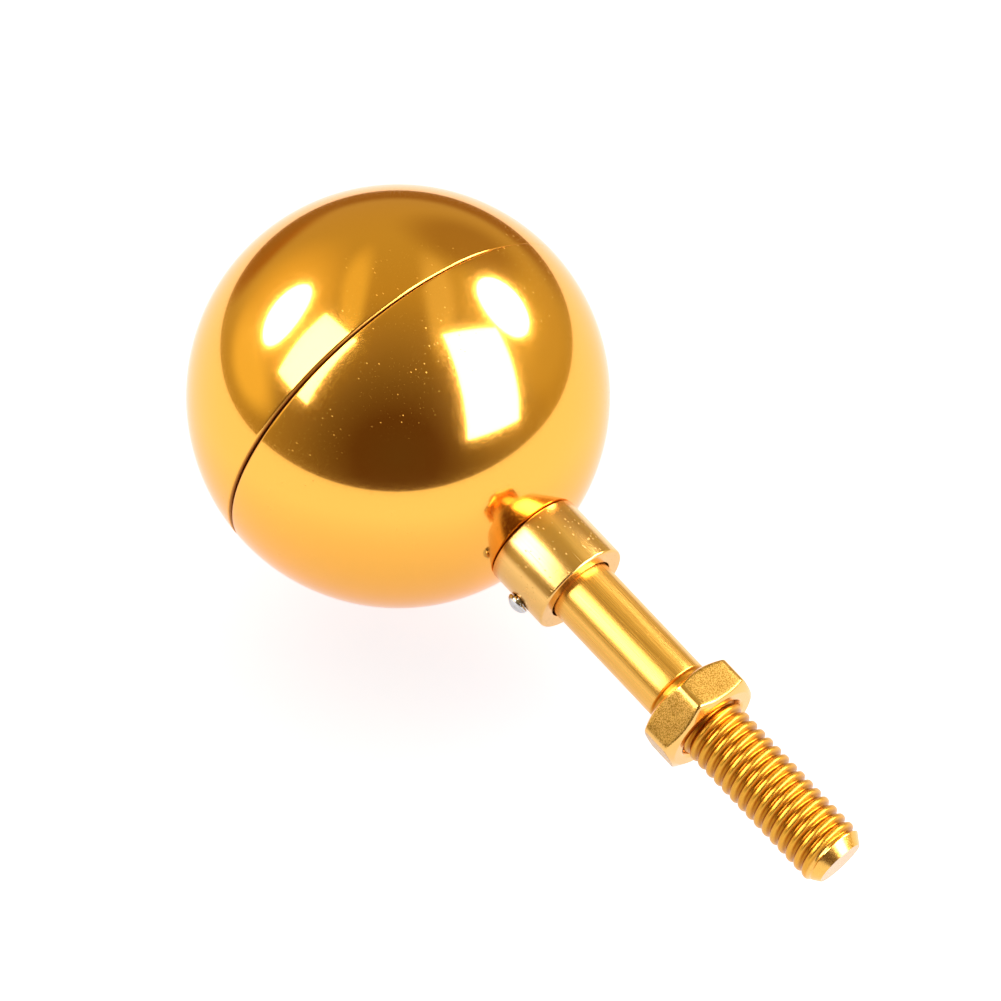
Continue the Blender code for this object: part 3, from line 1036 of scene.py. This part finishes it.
@dataclass
class LockNut(Piece):
    """The hexagon nut with chamfered ends and softened edges."""

    across: float = 0.01905  # across the flats
    top: float = -0.0781095  # height of its upper face
    thickness: float = 0.0076
    face: float = 0.0089  # radius at which the chamfer meets the face
    chamfer: float = math.radians(30.0)
    bore: float = 0.00645  # radius of its bore
    sink: float = 0.0006  # size of the countersink
    sink_drop: float = 0.00002  # of the countersink's softened edge below the face
    face_drop: float = 0.00003  # of the chamfer's start below the face
    blank: float = 1.02  # radius of the blank, as a share of the corners' radius
    soft: float = 0.00016  # how far the countersink's edge is softened
    turn: float = math.radians(-26.0)  # of its first corner about the spindle
    corner_power: float = 29.0  # how crisp its upright edges are
    edge_power: float = 46.0  # how crisp the edges of its chamfers are
    chamfer_fade: Span = (2.0, 1.25)  # in reach to minus edge_power, where a flat begins
    corner_fade: Span = (0.70, 0.95)  # in clearness of the corner, where a flat begins
    segments: int = 432

    def __post_init__(self) -> None:
        """Names the CAD node and the material slot."""
        self.node = "hex_nut"
        self.slot = "grained_gold_anodising"

    def half_profile(self) -> Profile:
        """Gives the profile from the bore to mid height.

        Returns:
            The profile as pairs of a radius and a depth below the face.
        """
        mouth = self.bore + self.sink
        middle = self.thickness / 2
        widest = self.across / math.sqrt(3.0) * self.blank
        face_steps, chamfer_steps, side_steps = 5, 26, 14
        flat = self.face - mouth - 2 * self.soft
        slope = math.tan(self.chamfer)
        points = [(self.bore, middle), (self.bore, self.sink), (mouth - self.soft, self.soft),
                  (mouth, self.sink_drop), (mouth + self.soft, 0.0)]
        points += [(mouth + self.soft + flat * i / face_steps, 0.0)
                   for i in range(1, face_steps + 1)]
        points += [(self.face, self.face_drop)]
        for i in range(1, chamfer_steps + 1):
            radius = self.face + (widest - self.face) * i / chamfer_steps
            points.append((radius, self.face_drop + (radius - self.face) * slope))
        start = points[-1][1]
        points += [(widest, start + (middle - start) * i / side_steps)
                   for i in range(1, side_steps + 1)]
        return points

    def flats(self, angle: float) -> tuple[float, float]:
        """Gives the softened hexagon at an angle from its first corner.

        Args:
            angle: The angle about the nut's axis.

        Returns:
            The hexagon's radius, and how far the angle is from a corner: one on a flat
            and a half at a corner.
        """
        leans = [math.cos(angle - math.radians(30.0 + 60.0 * i)) for i in range(6)]
        terms = [lean ** self.corner_power for lean in leans if lean > 0.0]
        total = sum(terms)
        return self.across / 2 * total ** (-1.0 / self.corner_power), max(terms) / total

    def mark_flats(self, mesh: bpy.types.Mesh, name: str) -> None:
        """Writes to each vertex how far it lies on a flat, away from every edge.

        Args:
            mesh: The nut's mesh, before it is turned.
            name: The attribute's name.
        """
        marks = mesh.attributes.new(name, "FLOAT", "POINT")
        for vertex, mark in zip(mesh.vertices, marks.data):
            flat, clear = self.flats(math.atan2(vertex.co.y, vertex.co.x))
            reach = math.hypot(vertex.co.x, vertex.co.y) / flat
            off_chamfer = share_of(reach ** -self.edge_power, *self.chamfer_fade)
            mark.value = off_chamfer * share_of(clear, *self.corner_fade)

    def build(self, finish: GrainedGold) -> None:
        """Builds and dresses the nut.

        Args:
            finish: Its finish.
        """
        half = self.half_profile()
        upper = [(radius, self.top - fall) for radius, fall in half]
        lower = [(radius, self.top - self.thickness + fall) for radius, fall in reversed(half)]
        draft = lathe(upper + lower[1:-1], self.segments, closed=True)
        power = self.edge_power
        shaped = []
        for x, y, z in draft.vertices:
            flat, _ = self.flats(math.atan2(y, x))
            share = (1.0 + (math.hypot(x, y) / flat) ** power) ** (-1.0 / power)
            shaped.append((x * share, y * share, z))
        draft.vertices = shaped
        mesh = draft.mesh(self.node)
        self.mark_flats(mesh, finish.flats)
        mesh.transform(Matrix.Rotation(self.turn, 4, "Z"))
        self.finish_piece(new_object("lock_nut", mesh), finish.material())


# Studio and camera

def facing_axes(azimuth: float, elevation: float) -> tuple[Vector, Vector, Vector]:
    """Gives the axes of what stands in a direction and faces the ball.

    Args:
        azimuth: The direction's azimuth, counted from +X, in degrees.
        elevation: Its height above level, in degrees.

    Returns:
        The axes to the side, upwards and away from the ball.
    """
    turn = math.radians(azimuth)
    rise = math.radians(elevation)
    away = Vector((math.cos(turn) * math.cos(rise), math.sin(turn) * math.cos(rise),
                   math.sin(rise)))
    side = Vector((0.0, 0.0, 1.0)).cross(away).normalized()
    return side, away.cross(side), away


class LampShape(Enum):
    """Outline of a soft lamp."""

    BOX = "RECTANGLE"
    OVAL = "ELLIPSE"


@dataclass(frozen=True)
class SoftLamp:
    """A soft lamp that the metal reflects. Its angles are in degrees."""

    name: str
    azimuth: float  # from the camera's side, to the right
    elevation: float
    width: float  # at a distance of one metre
    height: float  # at a distance of one metre
    roll: float
    shape: LampShape
    pan: float = 0.0  # turn away from the ball about its own upright
    glow: float = 18.0  # its radiance

    def build(self, front: float, distance: float) -> None:
        """Places the lamp.

        Args:
            front: The camera's azimuth, in degrees.
            distance: Its distance from the ball.
        """
        side, over, away = facing_axes(front + self.azimuth, self.elevation)
        lamp = bpy.data.lights.new(self.name, "AREA")
        lamp.shape = self.shape.value
        lamp.size = self.width * distance
        lamp.size_y = self.height * distance
        area = lamp.size * lamp.size_y
        if self.shape is LampShape.OVAL:
            area *= math.pi / 4
        lamp.energy = self.glow * math.pi * area
        item = new_object(self.name, lamp)
        facing = Matrix((side, over, away)).transposed().to_4x4()
        centre = Vector(POSE.ball_centre) + away * distance
        roll = Matrix.Rotation(math.radians(self.roll), 4, "Z")
        pan = Matrix.Rotation(math.radians(self.pan), 4, "Y")
        item.matrix_world = Matrix.Translation(centre) @ facing @ roll @ pan
        item.visible_camera = False
        item.visible_diffuse = False


@dataclass(frozen=True)
class WallPatch:
    """A soft oval patch of light or shade on the room's walls. Its angles are in degrees."""

    azimuth: float  # from the camera's side, to the right
    elevation: float
    half_width: float
    half_height: float
    colour: Colour  # its radiance
    roll: float = 0.0
    soft: float = 0.45  # share of its size over which it fades

    def mask(self, bench: NodeBench, view: Socket, front: float) -> Socket:
        """Adds the nodes that find the patch.

        Args:
            bench: The room's nodes.
            view: The direction that is looked in.
            front: The camera's azimuth, in degrees.

        Returns:
            One on the patch and zero elsewhere.
        """
        side, over, away = facing_axes(front + self.azimuth, self.elevation)
        axes = Matrix((away, side, over)).transposed()
        axes = axes @ Matrix.Rotation(math.radians(self.roll), 3, "X")
        width = math.sin(math.radians(self.half_width))
        height = math.sin(math.radians(self.half_height))
        place = bench.add("ShaderNodeMapping", {
            "Vector": view, "Location": away, "Rotation": axes.to_euler(),
            "Scale": ((width + height) / 2, width, height)}, "Vector", vector_type="TEXTURE")
        return bench.span(bench.vector_math("LENGTH", place), 1.0 - self.soft,
                          1.0 + self.soft, 1.0, 0.0)


@dataclass(frozen=True)
class Studio:
    """The pale table, the soft lamps and the dim room round them."""

    front: float = -42.4  # the camera's azimuth, where the room is darkest, in degrees
    table_depth: float = 0.33  # half its size from front to back
    table_width: float = 0.44  # half its size from side to side
    table_place: tuple[float, float] = (-0.04, 0.03)  # ahead and to the side
    table_drop: float = 0.00005  # below the floor's level
    table_round: float = 0.8  # power of its outline, which is an ellipse at one
    table_steps: int = 160
    table_colour: Colour = (0.42, 0.47, 0.80)  # evens out the warm light on it
    table_tone: Colour = (0.98, 1.0, 1.08)  # colour of the light that it has besides
    table_glow: Span = (0.76, 1.13)  # that light's radiance, in the ball's shade and away
    shade: Triple = (-0.02, -0.02, 0.0)  # middle of the ball's shade on the table
    shade_reach: float = 0.11
    lamp_distance: float = 2.2
    lamps: tuple[SoftLamp, ...] = (
        SoftLamp("right_front_lamp", 67.1, 31.0, 0.657, 0.927, -29.4, LampShape.BOX, -29.7,
                 14.0),
        SoftLamp("right_back_lamp", 112.8, 35.0, 0.52, 0.44, 35.6, LampShape.OVAL),
        SoftLamp("left_back_lamp", -109.0, 32.8, 0.53, 0.36, -43.2, LampShape.OVAL),
        SoftLamp("left_front_lamp", -73.3, 42.3, 0.479, 0.70, 11.9, LampShape.BOX, 23.1, 8.5),
    )
    # The room's colour by the angle from the front, as a share of half a turn
    walls: tuple[tuple[float, Colour], ...] = (
        (0.0, (0.13, 0.080, 0.035)), (0.12, (0.13, 0.070, 0.025)), (0.22, (0.22, 0.160, 0.070)),
        (0.36, (0.38, 0.30, 0.13)), (0.5, (0.56, 0.45, 0.15)), (0.72, (0.60, 0.51, 0.20)),
        (1.0, (0.58, 0.48, 0.22)))
    patches: tuple[WallPatch, ...] = (
        WallPatch(-112.0, 30.0, 30.0, 26.0, (0.90, 0.75, 0.26)),
        WallPatch(112.0, 30.0, 30.0, 28.0, (0.72, 0.62, 0.24)),
        WallPatch(-98.0, 8.0, 24.0, 9.0, (1.00, 0.88, 0.34)),
        WallPatch(115.0, 10.0, 28.0, 8.0, (0.66, 0.56, 0.22)),
        WallPatch(-120.0, 66.0, 28.0, 6.0, (0.92, 0.80, 0.30), 20.0),
        WallPatch(110.0, 68.0, 30.0, 7.0, (0.85, 0.76, 0.40), -10.0),
        WallPatch(-150.0, -2.0, 14.0, 9.0, (0.42, 0.22, 0.045)),
        WallPatch(180.0, -6.0, 46.0, 8.0, (0.36, 0.216, 0.054)),
        WallPatch(152.0, 30.0, 20.0, 18.0, (0.42, 0.31, 0.12)),
    )
    backdrop: Colour = (0.93, 0.93, 0.92)  # what the camera itself sees behind the table

    def build_table(self) -> None:
        """Lays the pale oval table."""
        side, _, ahead = facing_axes(self.front, 0.0)
        centre = ahead * self.table_place[0] + side * self.table_place[1]
        rim = []
        for i in range(self.table_steps):
            angle = math.tau * i / self.table_steps
            deep, wide = (math.copysign(abs(part) ** self.table_round, part)
                          for part in (math.cos(angle), math.sin(angle)))
            point = centre + ahead * deep * self.table_depth + side * wide * self.table_width
            rim.append((point.x, point.y, -self.table_drop))
        mesh = bpy.data.meshes.new("table")
        mesh.from_pydata(rim, [], [tuple(range(self.table_steps))])
        table = new_object("table", mesh)
        sheet = Sheet("pale_table")
        apart = sheet.vector_math("DISTANCE", sheet.place, self.shade)
        mesh.materials.append(sheet.finished({
            "Metallic": 0.0, "Base Color": self.table_colour, "Roughness": 0.8,
            "Specular IOR Level": 0.0, "Emission Color": self.table_tone,
            "Emission Strength": sheet.span(apart, 0.0, self.shade_reach, *self.table_glow)}))

    def build_room(self) -> None:
        """Colours the room: dim towards the front, lighter behind, pale to the camera."""
        world = bpy.data.worlds.new("room")
        bpy.context.scene.world = world
        world.use_nodes = True
        bench = NodeBench(world.node_tree)
        view = bench.add("ShaderNodeTexCoord", {}, "Generated")
        _, _, ahead = facing_axes(self.front, 10.0)
        dot = bench.add("ShaderNodeVectorMath", {0: view, 1: ahead}, "Value",
                        operation="DOT_PRODUCT")
        share = bench.math("DIVIDE", bench.math("ARCCOSINE", dot), math.pi)
        seen = bench.add("ShaderNodeValToRGB", {"Fac": share}, "Color")
        stops = seen.node.color_ramp.elements
        while len(stops) < len(self.walls):
            stops.new(0.5)
        for stop, (place, colour) in zip(stops, self.walls):
            stop.position = place
            stop.color = (*colour, 1.0)
        for patch in self.patches:
            seen = bench.mixed(patch.mask(bench, view, self.front), seen, patch.colour)
        to_camera = bench.add("ShaderNodeLightPath", {}, "Is Camera Ray")
        bench.feed(bench.mixed(to_camera, seen, self.backdrop),
                   bench.nodes["Background"].inputs["Color"])

    def build(self) -> None:
        """Builds the whole studio."""
        self.build_table()
        self.build_room()
        for lamp in self.lamps:
            lamp.build(self.front, self.lamp_distance)
        bpy.context.scene.view_settings.view_transform = "Standard"


@dataclass(frozen=True)
class PhotoCamera:
    """The camera of the photograph."""

    azimuth: float = -42.399  # from the ball, counted from +X, in degrees
    elevation: float = 43.528  # in degrees
    distance: float = 1.5  # from the ball's centre along the line of sight
    focal: float = 8365.0  # focal length in pixels
    picture: float = 1001.0  # the picture's side in pixels
    ball_column: float = 398.2  # column of the ball's centre in the picture
    ball_row: float = 396.15  # and its row
    sensor: float = 36.0  # width in millimetres
    clip: Span = (0.01, 20.0)

    def build(self) -> None:
        """Places the camera."""
        right, upward, back = facing_axes(self.azimuth, self.elevation)
        middle = self.picture / 2
        metres = self.distance / self.focal
        shift_right = (self.ball_column - middle) * metres
        shift_up = (middle - self.ball_row) * metres
        place = Vector(POSE.ball_centre) + back * self.distance
        place -= right * shift_right + upward * shift_up
        data = bpy.data.cameras.new("photo_camera")
        data.sensor_width = self.sensor
        data.lens = self.focal / self.picture * self.sensor
        data.clip_start, data.clip_end = self.clip
        camera = new_object("photo_camera", data)
        facing = Matrix((right, upward, back)).transposed().to_4x4()
        camera.matrix_world = Matrix.Translation(place) @ facing
        bpy.context.scene.camera = camera


def main() -> None:
    """Builds the finial, the studio and the camera."""
    logging.basicConfig(level=logging.INFO, format="%(name)s: %(message)s")
    mirror = MirrorGold().material()
    HalfBall(HalfSide.UPPER, open_lip=0.00078, shut_lip=0.00004).build(mirror)
    HalfBall(HalfSide.LOWER, open_lip=0.00066, shut_lip=0.00004).build(mirror)
    collar = Collar()
    collar.build(TurnedGold("satin_collar_gold", (0.80, 0.465, 0.142), (0.64, 0.34, 0.085),
                            gloss=0.21, drawn=0.06, nick=0.145).material())
    SetScrew(collar).build(BrightSteel().material())
    Spindle().build(TurnedGold("satin_bar_gold", (0.82, 0.445, 0.098), (0.70, 0.34, 0.055),
                               gloss=0.25).material())
    LockNut().build(GrainedGold())
    Studio().build()
    PhotoCamera().build()


if __name__ == "__main__":
    main()
